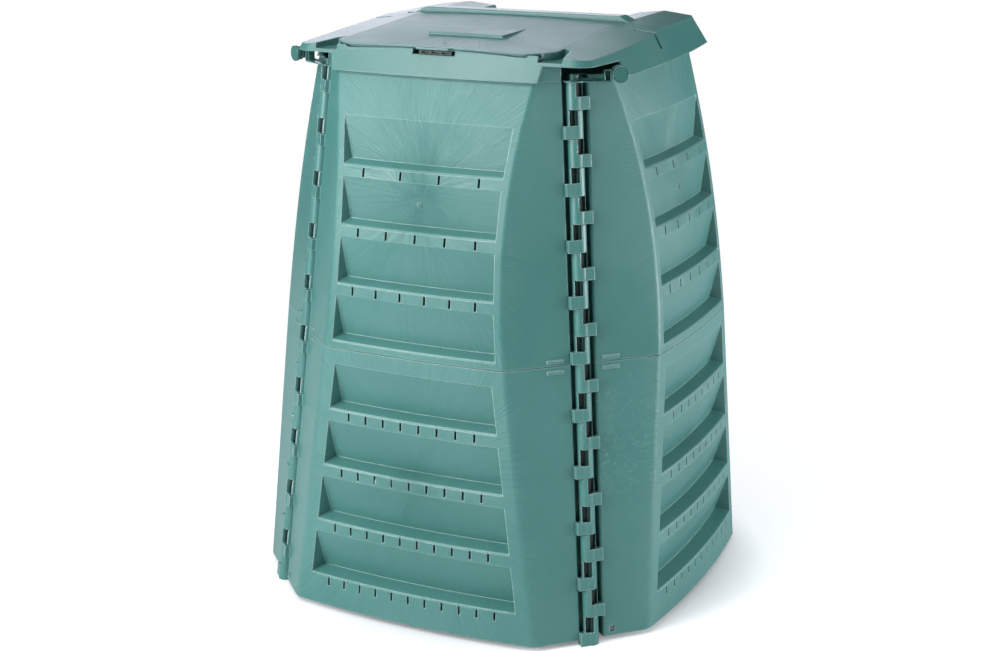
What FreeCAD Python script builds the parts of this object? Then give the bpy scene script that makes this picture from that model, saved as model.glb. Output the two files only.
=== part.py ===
import FreeCAD, Part
import math
import os

import Sketcher
from FreeCAD import Placement, Rotation, Vector

# A square garden compost bin of moulded plastic. Four lower and four upper wall panels meet at the
# corners like the leaves of a hinge, on one long rod per corner. A lid frame with a flared skirt
# rests on the walls, and its front flap opens upwards. A swivel lock turns on each front rod.
#
# Frame: millimetres, +Z up, the ground at Z = 0, the front wall faces -Y, the origin is under the
# middle of the bin.

os.makedirs("parts", exist_ok=True)
doc = FreeCAD.newDocument("compost_bin")
sheet = doc.addObject("Spreadsheet::Sheet", "Sizes")

sizes = {
    # heights above the ground
    "wall_bottom": 9,
    "seam_height": 485,
    "seam_gap": 1.2,
    "wall_top": 957,
    # half distance between opposite faces, at the ridge beside each corner
    "face_bottom": 384.5,
    "face_seam": 367.5,
    "face_upper_1": 360.5,
    "face_upper_2": 348.5,
    "face_upper_3": 331,
    "face_upper_4": 307,
    "face_top": 277.5,
    # each corner rod stands on the diagonal, this far out along X and along Y
    "corner_bottom": 309.2,
    "corner_top": 230.5,
    # every face bulges outwards, turned about an upright axis this far behind the bin's middle
    "bulge_axis": 1400,
    "wall": 5,
    "seam_step": 0.8,
    "strip_half": 21,
    "edge_flange": 19,
    "flange_clear": 0.7,
    "edge_round": 4,
    "ridge_round_top": 9,
    "ridge_round_seam": 16,
    "ridge_round_bottom": 30,
    # pockets in the faces
    "pocket_rows": 4,
    "pocket_pitch_upper": 99.5,
    "pocket_pitch_lower": 103.7,
    "pocket_lip_upper": 500,
    "pocket_lip_lower": 66,
    "pocket_tall_upper": 79,
    "pocket_tall_lower": 80.5,
    "pocket_depth_first": 19,
    "pocket_depth_last": 29,
    "pocket_sill_rise": 6.5,
    "pocket_side_upper": 15.5,
    "pocket_side_lower": 26.5,
    "pocket_end_slope": 0.4,
    "pocket_lip_round": 3,
    # vent slots under the pockets
    "slot_wide": 4.2,
    "slot_tall": 15.5,
    "slot_drop": 4,
    "slot_margin_upper": 14,
    "slot_pitch_lower": 32.6,
    "gate_bump": 15,
    "gate_bump_height": 3.2,
    # hinge-like corner knuckles and their rods
    "knuckles_per_level": 10,
    "knuckle_top": 947.5,
    "knuckle_outer": 13.5,
    "knuckle_bore": 8.6,
    "knuckle_ring": 21,
    "knuckle_gap": 1,
    "knuckle_set_in": 4,
    "rod_wide": 16,
    "rod_fin": 3.4,
    "rod_bottom": 4,
    "rod_top": 945.4,
    "pivot_wide": 10,
    "pivot_top": 958.5,
    "pivot_root": 4,
    "pivot_clear": 0.05,
    # lugs on the flanks at the seam, and the peg hole beside one foot
    "lug_long": 30,
    "lug_tall": 5,
    "lug_thick": 2.5,
    "peg_hole": 9,
    "foot_reach": 5,
    # lid frame: its top surface beside the flap, and the flared skirt
    "lid_front_top": 993.2,
    "lid_ridge_top": 1012.7,
    "lid_sag": 1.6,
    "lid_crown": 2.7,
    "lid_side_fall": 0.11,
    "lid_wall": 3.5,
    "skirt_bottom": 948.5,
    "skirt_rise": 0.0135,
    "skirt_side_middle": 304,
    "skirt_side_corner": 285,
    "skirt_front_middle": 298.5,
    "skirt_front_corner": 276,
    "skirt_reference": 1000,
    "top_side_middle": 276,
    "top_side_corner": 260.5,
    "top_front_middle": 272,
    "top_front_corner": 268,
    "skirt_front_round": 32,
    "skirt_back_round": 9,
    # the deck behind the flap falls backwards between the side strips
    "deck_half": 202,
    "shoulder_half": 150,
    "shoulder_drop": 6,
    "deck_front": 94,
    "deck_back_top": 964,
    "deck_platform": 1008,
    # ledges under the lid that sit on the walls
    "seat_half": 120,
    "seat_inner": 276,
    "seat_thick": 3,
    "seat_clear": 0.3,
    # opening under the flap, and the shelf that carries the flap
    "opening_half": 176,
    "opening_front": -250,
    "opening_side_back": 36,
    "shelf_drop": 7.4,
    # front corners: skirt cut-outs, scoops and the walls beside the rods
    "cutout_front": 186,
    "cutout_side": 157,
    "cutout_slant": 8.5,
    "rim_bottom": 975.3,
    "scoop_floor": 980.5,
    "scoop_tip_x": 223,
    "scoop_tip_y": -197,
    "scoop_outer": 229,
    "guard_sum": 466,
    "guard_inner": 187,
    "guard_outer": 215,
    "guard_thick": 2.5,
    # notch for the tab, and the catch in it
    "notch_half": 43,
    "notch_slant": 4,
    "notch_bottom": 982.4,
    "catch_half": 30,
    "catch_front": -273,
    "catch_deep": 9,
    "catch_tall": 6,
    # grooves over the side strips
    "groove_inner": 238,
    "groove_at": 12,
    "groove_wide": 10,
    "groove_deep": 6,
    "groove_bottom": 974,
    "groove_slot_wide": 7,
    "groove_slot_tall": 9,
    # hinge bar cover
    "bar_half": 192,
    "bar_slope": 22,
    "bar_back": 92,
    "bar_top": 1021,
    "bar_wall": 2.5,
    # front flap
    "flap_half": 197.5,
    "flap_front": -275,
    "flap_back": 51,
    "flap_corner": 42,
    "flap_skin": 3.2,
    "flap_gap": 1.2,
    "flap_rib_drop": 7,
    "flap_rib_inset": 4.5,
    "plate_half": 72,
    "plate_front": -162,
    "plate_back": -70,
    "plate_rise": 4.6,
    "plate_corner": 5,
    "tab_half": 31,
    "tab_front": -286,
    "tab_top": 994.6,
    "tab_thick": 3,
    "arrow_at": -240,
    "arrow_size": 8,
    "arrow_rise": 0.8,
    # flap hinge
    "hinge_y": 48,
    "hinge_drop": 4.2,
    "hinge_pin_wide": 6,
    "hinge_pin_inner": 178,
    "hinge_pin_outer": 224,
    "hinge_clear": 0.05,
    "hinge_lug_wide": 12,
    "hinge_back_clear": 8.2,
    # corner locks, measured from the lock's own turning axis
    "lock_cut_wide": 24,
    "lock_bottom": 947.2,
    "lock_plate_thick": 2.5,
    "lock_plate_wide": 19.5,
    "lock_hub_wide": 17,
    "lock_hub_tall": 12,
    "lock_turn": 30,
    "lock_arm_long": 60,
    "lock_arm_front": 15,
    "lock_arm_back": 2,
    "lock_web_tall": 5,
    "lock_web_thick": 2.5,
    "lock_frame_inner": 48,
    "lock_frame_tall": 20,
    "lock_frame_wall": 1.6,
    "knob_out": 72.7,
    "knob_front": 29.6,
    "knob_height": 961,
    "knob_wide": 27,
    "knob_face": 5,
    "knob_groove_wide": 21,
    "knob_groove": 1.5,
    "knob_core": 12,
    "knob_rib_wide": 23,
    "knob_rib": 2,
    "knob_first_gap": 6,
    "knob_pitch": 8,
    "knob_long": 34,
}
for row, (name, value) in enumerate(sizes.items(), start=1):
    sheet.set(f"A{row}", name)
    sheet.set(f"B{row}", str(value))
    sheet.setAlias(f"B{row}", name)
doc.recompute()


def size(name):
    """Give one value of the sheet."""
    return float(sheet.get(name))


wall_bottom = size("wall_bottom")
seam_height = size("seam_height")
seam_gap = size("seam_gap")
wall_top = size("wall_top")
bulge_axis = size("bulge_axis")
wall = size("wall")
root_half = math.sqrt(0.5)


def between(value, low, high, at_low, at_high):
    """Read a straight line from (low, at_low) to (high, at_high)."""
    return at_low + (at_high - at_low) * (value - low) / (high - low)


# The outer surface: half width of the faces and the place of the corners, by height.
upper_knots = [
    size("face_seam") + size("seam_step"),
    size("face_upper_1"),
    size("face_upper_2"),
    size("face_upper_3"),
    size("face_upper_4"),
    size("face_top"),
]


def corner_at(height):
    """Distance of the corner line from the middle, along X and along Y."""
    return between(height, wall_bottom, wall_top, size("corner_bottom"), size("corner_top"))


def face_at(height):
    """Half distance between opposite faces at the ridges."""
    if height < seam_height:
        return between(height, wall_bottom, seam_height, size("face_bottom"), size("face_seam"))
    share = (height - seam_height) / (wall_top - seam_height) * (len(upper_knots) - 1)
    index = min(int(share), len(upper_knots) - 2)
    return between(share, index, index + 1, upper_knots[index], upper_knots[index + 1])


def ridge_at(height):
    """Half width of the flat of one face, from its middle to the ridge."""
    return 2 * corner_at(height) - face_at(height)


def bulge_radius(height):
    """Radius of the face about the upright bulge axis."""
    return math.hypot(ridge_at(height), bulge_axis + face_at(height))


def ridge_round(height):
    """Outer radius of the ridge between a face and a flank."""
    if height < seam_height:
        return between(height, wall_bottom, seam_height, size("ridge_round_bottom"), size("ridge_round_seam"))
    return between(height, seam_height, wall_top, size("ridge_round_seam"), size("ridge_round_top"))


def rounded(points, radii):
    """Join points by lines, and round each inner point by its radius. Give the edges."""
    edges = []
    last = points[0]
    for before, point, after, radius in zip(points, points[1:], points[2:], radii):
        into = (before - point).normalize()
        out = (after - point).normalize()
        half = into.getAngle(out) / 2
        reach = radius / math.tan(half)
        middle = point + (into + out).normalize() * (radius / math.sin(half) - radius)
        edges.append(Part.makeLine(last, point + into * reach))
        edges.append(Part.Arc(point + into * reach, middle, point + out * reach).toShape())
        last = point + out * reach
    edges.append(Part.makeLine(last, points[-1]))
    return edges


def wall_side(height, inset):
    """Corner points of one side of a wall's section, from the end of its flange to the ridge.

    The flange turns inwards beside the corner rod and then closes the corner behind the rod.
    """
    centre = Vector(corner_at(height), -corner_at(height), height)
    across = Vector(root_half, root_half, 0)
    inward = Vector(-root_half, root_half, 0)
    strip = centre - across * size("strip_half")
    ridge = Vector(ridge_at(height), -face_at(height), height)
    turn = strip + inward * size("edge_flange")
    end = centre + inward * (size("edge_flange") + inset) - across * size("flange_clear")
    offset = inward * inset - across * inset

    along = (ridge - strip).normalize()
    bulge = math.asin(ridge_at(height) / bulge_radius(height))
    face = Vector(-math.cos(bulge), -math.sin(bulge), 0)
    opening = (-along).getAngle(face)
    inner_ridge = ridge + (face - along).normalize() * (inset / math.sin(opening / 2))
    return end, turn + offset, strip + offset, inner_ridge


def wall_section(height):
    """Closed outline of a wall panel at one height."""
    edges = []
    for inset in (0.0, wall):
        end, turn, strip, ridge = wall_side(height, inset)
        radius = bulge_radius(height) - inset
        spread = ridge.x / radius
        near = Vector(radius * math.sin(spread * 0.8), bulge_axis - radius * math.cos(spread * 0.8), height)
        edge_radius = size("edge_round") if inset == 0 else 1.0
        turn_radius = 1.0 if inset == 0 else size("edge_round")
        ridge_radius = max(ridge_round(height) - inset, 2.0)
        right = rounded([end, turn, strip, ridge, near], [turn_radius, edge_radius, ridge_radius])
        left = [edge.mirror(Vector(0, 0, 0), Vector(1, 0, 0)) for edge in right]
        middle = Vector(0, bulge_axis - radius, height)
        face = Part.Arc(Vector(-near.x, near.y, height), middle, near).toShape()
        edges.append((end, left + [face] + right))
    outer_end, outer = edges[0]
    inner_end, inner = edges[1]
    caps = []
    for side in (-1, 1):
        caps.append(Part.makeLine(Vector(side * outer_end.x, outer_end.y, height),
                                  Vector(side * inner_end.x, inner_end.y, height)))
    return Part.Wire(Part.__sortEdges__(outer + inner + caps))


def turned(profile, angle):
    """Turn a closed (radius, height) profile about the bulge axis, by an angle to each side."""
    points = [Vector(0, bulge_axis - radius, height) for radius, height in profile]
    face = Part.Face(Part.makePolygon(points + [points[0]]))
    axis = Vector(0, bulge_axis, 0)
    face.rotate(axis, Vector(0, 0, 1), -angle)
    return face.revolve(axis, Vector(0, 0, 1), 2 * angle)


def end_limits(low, high, side, depth, grow):
    """A block that ends a pocket at its sloping end walls."""
    reach = 40.0
    wires = []
    for height in (low, high):
        half = ridge_at(min(max(height, wall_bottom), wall_top)) - side + grow
        surface = bulge_axis - bulge_radius(height) + half * half / (2 * bulge_radius(height))
        slope = size("pocket_end_slope")
        wide = half + slope * reach
        narrow = half - slope * (depth + wall + grow)
        front = surface - reach
        back = surface + depth + wall + grow
        corners = [Vector(-wide, front, height), Vector(wide, front, height),
                   Vector(narrow, back, height), Vector(-narrow, back, height)]
        wires.append(Part.makePolygon(corners + [corners[0]]))
    return Part.makeLoft(wires, True, True)


def block(x0, x1, y0, y1, z0, z1):
    """A box between two corners."""
    return Part.makeBox(x1 - x0, y1 - y0, z1 - z0, Vector(x0, y0, z0))


def pocket_void(lip, tall, depth, side):
    """The wedge-shaped hollow of one pocket."""
    sill = lip + size("pocket_sill_rise")
    top = lip + tall
    lip_radius = bulge_radius(lip)
    inner = Vector(lip_radius - depth, sill, 0)
    edge = Vector(lip_radius, lip, 0)
    ledge = (inner - edge).normalize()
    size_round = size("pocket_lip_round")
    start = edge + ledge * size_round
    end = Vector(bulge_radius(lip - size_round), lip - size_round, 0)
    middle = edge * 0.55 + (start + end) * 0.225
    reach = 30.0
    profile = [(bulge_radius(top), top), (inner.x, inner.y), (start.x, start.y), (middle.x, middle.y),
               (end.x, end.y), (lip_radius + reach, end.y), (lip_radius + reach, top)]
    angle = math.degrees(ridge_at(sill) / lip_radius) + 1.5
    void = turned(profile, angle).common(end_limits(end.y - 1, top + 1, side, depth, 0))
    return void


def pocket_jacket(lip, tall, depth, side):
    """The wall round a pocket, behind the face."""
    sill = lip + size("pocket_sill_rise")
    top = lip + tall + wall
    low = lip - 1.4 * wall
    shell = wall / 2
    back = bulge_radius(lip) - depth - wall
    profile = [(bulge_radius(top) - shell, top), (back, sill + 1), (back, sill - 1), (bulge_radius(low) - shell, low)]
    steps = 4
    for step in range(1, steps):
        height = low + (top - low) * step / steps
        profile.append((bulge_radius(height) - shell, height))
    angle = math.degrees(ridge_at(sill) / bulge_radius(lip)) + 1.5
    return turned(profile, angle).common(end_limits(low - 1, top + 1, side, depth, wall))


def slot(x, lip):
    """An upright vent slot with an arched top."""
    half = size("slot_wide") / 2
    top = lip - size("slot_drop")
    bottom = top - size("slot_tall")
    front = bulge_axis - bulge_radius(bottom) - 2
    deep = 22.0
    box = Part.makeBox(2 * half, deep, top - half - bottom, Vector(x - half, front, bottom))
    arch = Part.makeCylinder(half, deep, Vector(x, front, top - half), Vector(0, 1, 0))
    return box.fuse(arch)


def knuckle(owner):
    """One corner knuckle about the rod: a ring, a web to its own panel and a tongue on the far side.

    Local axes: X runs along the chamfer, -Y points out of the corner, Z runs up the rod. The owner is
    -1 for a panel on the left of the corner and +1 for one on its right.
    """
    outer = size("knuckle_outer")
    bore = size("knuckle_bore")
    ring = size("knuckle_ring")
    body = Part.makeCylinder(outer, ring)
    web_end = size("strip_half") + 1.5
    web = Part.makeBox(web_end, outer, ring, Vector(0, -outer + 1.5, 0))
    if owner < 0:
        web.translate(Vector(-web_end, 0, 0))
    return body.fuse(web).cut(Part.makeCylinder(bore, ring))


def tongue(owner, tall):
    """The shell on the far side of the rod, from the ring up to the next knuckle."""
    outer = size("knuckle_outer")
    bore = size("knuckle_bore")
    ring = size("knuckle_ring")
    shell = Part.makeCylinder(outer, tall - ring, Vector(0, 0, ring))
    shell = shell.cut(Part.makeCylinder(bore, tall))
    near = Part.makeBox(outer, 3 * outer, tall, Vector(-outer + 2, -1.5 * outer, 0))
    inner = Part.makeBox(3 * outer, outer, tall, Vector(-outer, 3, 0))
    if owner > 0:
        near = near.mirror(Vector(0, 0, 0), Vector(1, 0, 0))
    return shell.cut(near).cut(inner)


rod_lean = math.degrees(math.atan2(
    (size("corner_bottom") - size("corner_top")) / root_half, wall_top - wall_bottom))


def corner_placement(height, side):
    """Place of a corner's local axes at one height. The side is -1 for the left, +1 for the right."""
    centre = corner_at(height) - size("knuckle_set_in") * root_half
    facing = Rotation(Vector(0, 0, 1), 45 * side)
    lean = Rotation(Vector(1, 0, 0), -rod_lean)
    return Placement(Vector(side * centre, -centre, height), facing.multiply(lean))


def knuckle_heights(level):
    """Lower end of each knuckle of one level, from the top down, and their height."""
    count = int(size("knuckles_per_level"))
    low, high = (0.0, seam_height) if level == "lower" else (seam_height, size("knuckle_top"))
    pitch = (high - low) / count
    return [high - pitch * (index + 1) for index in range(count)], pitch


def knuckles(level):
    """All knuckles of one panel: odd places on its left corner, even places on its right corner."""
    heights, pitch = knuckle_heights(level)
    tall = pitch / math.cos(math.radians(rod_lean)) - size("knuckle_gap")
    pieces = []
    for index, height in enumerate(heights):
        side = -1 if index % 2 == 0 else 1
        owner = -side
        shape = knuckle(owner).fuse(tongue(owner, tall))
        if height < wall_bottom:
            foot = knuckle(owner)
            foot.translate(Vector(0, 0, -size("foot_reach")))
            shape = shape.fuse(foot)
        shape.Placement = corner_placement(height + size("knuckle_gap") / 2, side)
        pieces.append(shape)
    return pieces


def flank_place(height, along):
    """A frame on the right flank: origin on its surface, X along it and -Y out of it."""
    corner = corner_at(height)
    step = size("strip_half") * root_half
    strip = Vector(corner - step, -corner - step, height)
    ridge = Vector(ridge_at(height), -face_at(height), height)
    point = strip + (ridge - strip).normalize() * along
    return Placement(point, Rotation(Vector(0, 0, 1), 45))


def flank_lugs(level):
    """Small raised lugs on both flanks beside the seam."""
    height = seam_height + 6 if level == "upper" else seam_height - 12
    shapes = []
    long = size("lug_long")
    lug = Part.makeBox(long, size("lug_thick") + 2, size("lug_tall"), Vector(-long, -size("lug_thick"), 0))
    lug = lug.makeFillet(1.2, [edge for edge in lug.Edges if edge.CenterOfMass.y < -2])
    lug.Placement = flank_place(height, 14)
    shapes.append(lug)
    shapes.append(lug.mirror(Vector(0, 0, 0), Vector(1, 0, 0)))
    return shapes


def gate_bump(lip, tall):
    """A small round bump on the slanting back of a pocket, left from the moulding."""
    sill = lip + size("pocket_sill_rise")
    height = (sill + lip + tall) / 2
    depth = between(5, 7, 0, size("pocket_depth_first"), size("pocket_depth_last"))
    back = between(height, sill, lip + tall, bulge_radius(lip) - depth, bulge_radius(lip + tall))
    rise = size("gate_bump_height")
    bump = Part.makeCone(size("gate_bump") / 2 + 1, size("gate_bump") / 4, 2 * rise)
    bump.Placement = Placement(Vector(0, bulge_axis - back + rise, height), Rotation(Vector(1, 0, 0), 90))
    return bump


def lock_sweep(side):
    """The space over a wall's corner in which the lock turns."""
    axis = lock_axis(side)
    base = size("lock_bottom") - size("seat_clear") * 2
    return Part.makeCylinder(size("lock_cut_wide"), wall_top, Vector(axis.x, axis.y, base))


def lock_axis(side):
    """Point on the upright turning axis of a front corner lock, over the place where its pivot leaves the rod."""
    root = size("rod_top") - size("pivot_root") * math.cos(math.radians(rod_lean))
    out = corner_at(root) - size("knuckle_set_in") * root_half
    return Vector(side * out, -out, size("rod_top"))


def panel(level):
    """One wall panel in its front position."""
    if level == "upper":
        low = seam_height + seam_gap
        steps = [low] + [seam_height + (wall_top - seam_height) * i / (len(upper_knots) - 1)
                         for i in range(1, len(upper_knots))]
        lip = size("pocket_lip_upper")
        pitch = size("pocket_pitch_upper")
        tall = size("pocket_tall_upper")
        side = size("pocket_side_upper")
    else:
        steps = [wall_bottom, seam_height]
        lip = size("pocket_lip_lower")
        pitch = size("pocket_pitch_lower")
        tall = size("pocket_tall_lower")
        side = size("pocket_side_lower")
    rows = int(size("pocket_rows"))
    shell = Part.makeLoft([wall_section(height) for height in steps], True, level == "lower")
    jackets = []
    voids = []
    slots = []
    total = 2 * rows - 1
    for row in range(rows):
        place = row if level == "lower" else row + rows
        depth = between(place, total, 0, size("pocket_depth_first"), size("pocket_depth_last"))
        row_lip = lip + row * pitch
        jackets.append(pocket_jacket(row_lip, tall, depth, side))
        voids.append(pocket_void(row_lip, tall, depth, side))
        if level == "upper":
            count = 0 if row == 0 else 7 - row
            spread = 2 * (ridge_at(row_lip) - side - size("slot_margin_upper"))
            gap = spread / (count - 0.25) if count else 0
        else:
            count = 11 - row
            gap = size("slot_pitch_lower") * (1 + 0.019 * row)
        for index in range(count):
            slots.append(slot((index - (count - 1) / 2) * gap, row_lip))
    body = shell.multiFuse(jackets + knuckles(level) + flank_lugs(level))
    body = body.cut(Part.makeCompound(voids + slots))
    for index in (-1, 1):
        bore = Part.makeCylinder(size("knuckle_bore"), wall_top * 1.1, Vector(0, 0, -40))
        bore.Placement = corner_placement(0, index)
        body = body.cut(bore)
    if level == "upper":
        body = body.fuse(gate_bump(lip + 2 * pitch, tall))
        for side in (-1, 1):
            body = body.cut(lock_sweep(side))
    else:
        hole = size("peg_hole")
        peg = Part.makeBox(hole, 40, hole * 1.2, Vector(-hole, -20, 0))
        peg.Placement = flank_place(wall_bottom + 6, hole + 4)
        body = body.cut(peg.mirror(Vector(0, 0, 0), Vector(1, 0, 0)))
        body = body.cut(block(-450, 450, -450, 450, -40, 0))
    return body


def add_shape(name, shape, placement=Placement()):
    """Keep a shape as a named sub-part."""
    feature = doc.addObject("Part::Feature", name)
    feature.Label = name
    feature.Shape = shape
    feature.Placement = placement
    return feature


def add_sketch(body, name, plane, points, placement=None):
    """Draw a closed outline on an origin plane. Each point is a pair of sheet formulas."""
    sketch = body.newObject("Sketcher::SketchObject", name)
    planes = {feature.Role: feature for feature in body.Origin.OriginFeatures}
    sketch.AttachmentSupport = (planes[plane], [""])
    sketch.MapMode = "FlatFace"
    if placement is not None:
        sketch.AttachmentOffset = placement
    values = [(evaluate(x), evaluate(y)) for x, y in points]
    count = len(values)
    for index in range(count):
        start = Vector(*values[index], 0)
        end = Vector(*values[(index + 1) % count], 0)
        sketch.addGeometry(Part.LineSegment(start, end), False)
    for index in range(count):
        sketch.addConstraint(Sketcher.Constraint("Coincident", index, 2, (index + 1) % count, 1))
    for index, formulas in enumerate(points):
        for kind, value, formula in zip(("DistanceX", "DistanceY"), values[index], formulas):
            number = sketch.addConstraint(Sketcher.Constraint(kind, -1, 1, index, 1, value))
            sketch.setExpression(f"Constraints[{number}]", bound(formula))
    doc.recompute()
    return sketch


def bound(formula):
    """Point the names of a formula at the sheet."""
    words = [f"Sizes.{word}" if word in sizes else word for word in formula.split()]
    return " ".join(words)


def evaluate(formula):
    """Work out a formula whose words are names of the sheet, numbers and signs, from left to right."""
    words = [str(size(word)) if word in sizes else word for word in formula.split()]
    total = float(words[0])
    for sign, word in zip(words[1::2], words[2::2]):
        number = float(word)
        total = {"+": total + number, "-": total - number, "*": total * number, "/": total / number}[sign]
    return total


def corner_rod(name, side, back):
    """A ribbed rod that leans with its corner. The front ones end in an upright pivot for the lock."""
    body = doc.addObject("PartDesign::Body", name)
    body.Label = name
    wide = "rod_wide / 2"
    fin = "rod_fin / 2"
    low = "rod_wide / -2"
    low_fin = "rod_fin / -2"
    outline = [(fin, wide), (low_fin, wide), (low_fin, fin), (low, fin), (low, low_fin), (low_fin, low_fin),
               (low_fin, low), (fin, low), (fin, low_fin), (wide, low_fin), (wide, fin), (fin, fin)]
    sketch = add_sketch(body, name + "_outline", "XY_Plane", outline)
    pad = body.newObject("PartDesign::Pad", name + "_length")
    pad.Profile = sketch
    pad.setExpression("Length", f"(Sizes.rod_top - Sizes.rod_bottom) / cos({rod_lean} deg)")
    doc.recompute()
    if not back:
        length = (size("rod_top") - size("rod_bottom")) / math.cos(math.radians(rod_lean))
        pivot = body.newObject("Sketcher::SketchObject", name + "_pivot_circle")
        planes = {feature.Role: feature for feature in body.Origin.OriginFeatures}
        pivot.AttachmentSupport = (planes["XY_Plane"], [""])
        pivot.MapMode = "FlatFace"
        pivot.AttachmentOffset = Placement(Vector(0, 0, length - size("pivot_root")), Rotation(Vector(1, 0, 0), rod_lean))
        pivot.addGeometry(Part.Circle(Vector(0, 0, 0), Vector(0, 0, 1), size("pivot_wide") / 2), False)
        pivot.addConstraint(Sketcher.Constraint("Coincident", 0, 3, -1, 1))
        number = pivot.addConstraint(Sketcher.Constraint("Diameter", 0, size("pivot_wide")))
        pivot.setExpression(f"Constraints[{number}]", "Sizes.pivot_wide")
        doc.recompute()
        top = body.newObject("PartDesign::Pad", name + "_pivot")
        top.Profile = pivot
        top.setExpression("Length", "Sizes.pivot_top - Sizes.rod_top + Sizes.pivot_root")
        doc.recompute()
    turn = 180 if back else 0
    place = corner_placement(size("rod_bottom"), side)
    body.Placement = Placement(Vector(0, 0, 0), Rotation(Vector(0, 0, 1), turn)).multiply(place)
    return body


def revolved(name, points, placement):
    """A lathe-shaped body: an outline beside the upright axis, turned all the way round."""
    body = doc.addObject("PartDesign::Body", name)
    body.Label = name
    sketch = add_sketch(body, name + "_outline", "XZ_Plane", points)
    turn = body.newObject("PartDesign::Revolution", name + "_turn")
    turn.Profile = sketch
    turn.ReferenceAxis = (sketch, ["V_Axis"])
    turn.Angle = 360
    body.Placement = placement
    doc.recompute()
    return body


# The lid frame.
def lid_edge_height(y):
    """Height of the lid's top along the flap's side edges."""
    ridge = size("hinge_y") + 5
    share = (y - size("flap_front")) / (ridge - size("flap_front"))
    if share > 1:
        return size("lid_ridge_top")
    straight = size("lid_front_top") + (size("lid_ridge_top") - size("lid_front_top")) * share
    return straight - 4 * size("lid_sag") * share * (1 - share)


def under_top(shift):
    """Everything below the lid's top surface, moved by a height."""
    ridge = size("hinge_y") + 5
    reach = 345.0
    half = size("flap_half")
    front = size("flap_front")
    spans = [[front - 80, front, front * 0.72, front * 0.44, front * 0.16, ridge], [ridge, reach]]
    blocks = []
    for span in spans:
        wires = []
        for y in span:
            edge = lid_edge_height(y) + shift
            side = edge - size("lid_side_fall") * (reach - half)
            base = size("skirt_bottom") - 60
            arc = Part.Arc(Vector(-half, y, edge), Vector(0, y, edge + size("lid_crown")), Vector(half, y, edge))
            wires.append(Part.Wire([
                Part.makeLine(Vector(-reach, y, base), Vector(-reach, y, side)),
                Part.makeLine(Vector(-reach, y, side), Vector(-half, y, edge)),
                arc.toShape(),
                Part.makeLine(Vector(half, y, edge), Vector(reach, y, side)),
                Part.makeLine(Vector(reach, y, side), Vector(reach, y, base)),
                Part.makeLine(Vector(reach, y, base), Vector(-reach, y, base)),
            ]))
        blocks.append(Part.makeLoft(wires, True, len(span) == 2))
    return blocks[0].fuse(blocks[1])


def lid_outline(height, inset):
    """Outline of the lid from above at one height of its flared skirt."""
    def spread(low, high):
        return between(height, size("skirt_bottom"), size("skirt_reference"), size(low), size(high)) - inset
    side = spread("skirt_side_middle", "top_side_middle")
    corner = spread("skirt_side_corner", "top_side_corner")
    front = spread("skirt_front_middle", "top_front_middle")
    front_corner = spread("skirt_front_corner", "top_front_corner")
    points = [Vector(corner, -front_corner, height), Vector(corner, corner, height),
              Vector(-corner, corner, height), Vector(-corner, -front_corner, height)]
    middles = [Vector(side, 0, height), Vector(0, side, height), Vector(-side, 0, height), Vector(0, -front, height)]
    edges = []
    for index in range(4):
        edges.append(Part.Arc(points[index], middles[index], points[(index + 1) % 4]).toShape())
    return Part.Wire(edges)


def lid_hull(inset):
    """The lid's flared body from below the skirt to above the top, with rounded corners."""
    low = size("skirt_bottom") - (10 if inset else 0)
    hull = Part.makeLoft([lid_outline(low, inset), lid_outline(1040, inset)], True, True)
    for radius, sign in ((size("skirt_front_round"), -1), (size("skirt_back_round"), 1)):
        upright = [edge for edge in hull.Edges
                   if edge.BoundBox.ZLength > 50 and edge.CenterOfMass.y * sign > 200]
        hull = hull.makeFillet(max(radius - inset, 3), upright)
    return hull


def flap_plan(grow, front_grow, low, high):
    """An upright block with the flap's outline, made larger all round."""
    half = size("flap_half") + grow
    front = size("flap_front") - front_grow
    back = size("flap_back") + grow
    radius = size("flap_corner") + grow
    cut = radius * (1 - root_half)
    edges = [
        Part.makeLine(Vector(half, back, low), Vector(-half, back, low)),
        Part.makeLine(Vector(-half, back, low), Vector(-half, front + radius, low)),
        Part.Arc(Vector(-half, front + radius, low), Vector(-half + cut, front + cut, low),
                 Vector(-half + radius, front, low)).toShape(),
        Part.makeLine(Vector(-half + radius, front, low), Vector(half - radius, front, low)),
        Part.Arc(Vector(half - radius, front, low), Vector(half - cut, front + cut, low),
                 Vector(half, front + radius, low)).toShape(),
        Part.makeLine(Vector(half, front + radius, low), Vector(half, back, low)),
    ]
    return Part.Face(Part.Wire(edges)).extrude(Vector(0, 0, high - low))


def both_sides(shape):
    """A shape and its mirror image across the middle."""
    return [shape, shape.mirror(Vector(0, 0, 0), Vector(1, 0, 0))]


def prism(points, along):
    """A straight block from a polygon."""
    return Part.Face(Part.makePolygon(points + [points[0]])).extrude(along)


def scoop(grow):
    """The recess in the right front corner of the lid, between the flap's corner and the side strip."""
    floor = size("scoop_floor") - grow * 1.15
    tip = Vector(size("scoop_tip_x"), size("scoop_tip_y"), 0)
    outer = size("scoop_outer") + grow
    inner = size("cutout_front")
    wires = []
    for height, lean in ((floor, 0.0), (1030.0, 1.0)):
        points = [
            Vector(inner, -330, height),
            Vector(inner, -245, height),
            Vector(tip.x - 20 + 2 * lean, tip.y - 12 + 12 * lean + grow, height),
            Vector(tip.x - 9 + 12 * lean + grow, tip.y - 26 + 30 * lean + grow, height),
            Vector(outer - 1 + 3 * lean, -268, height),
            Vector(outer + 3 * lean, -330, height),
        ]
        wires.append(Part.makePolygon(points + [points[0]]))
    return Part.makeLoft(wires, True, True)


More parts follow.
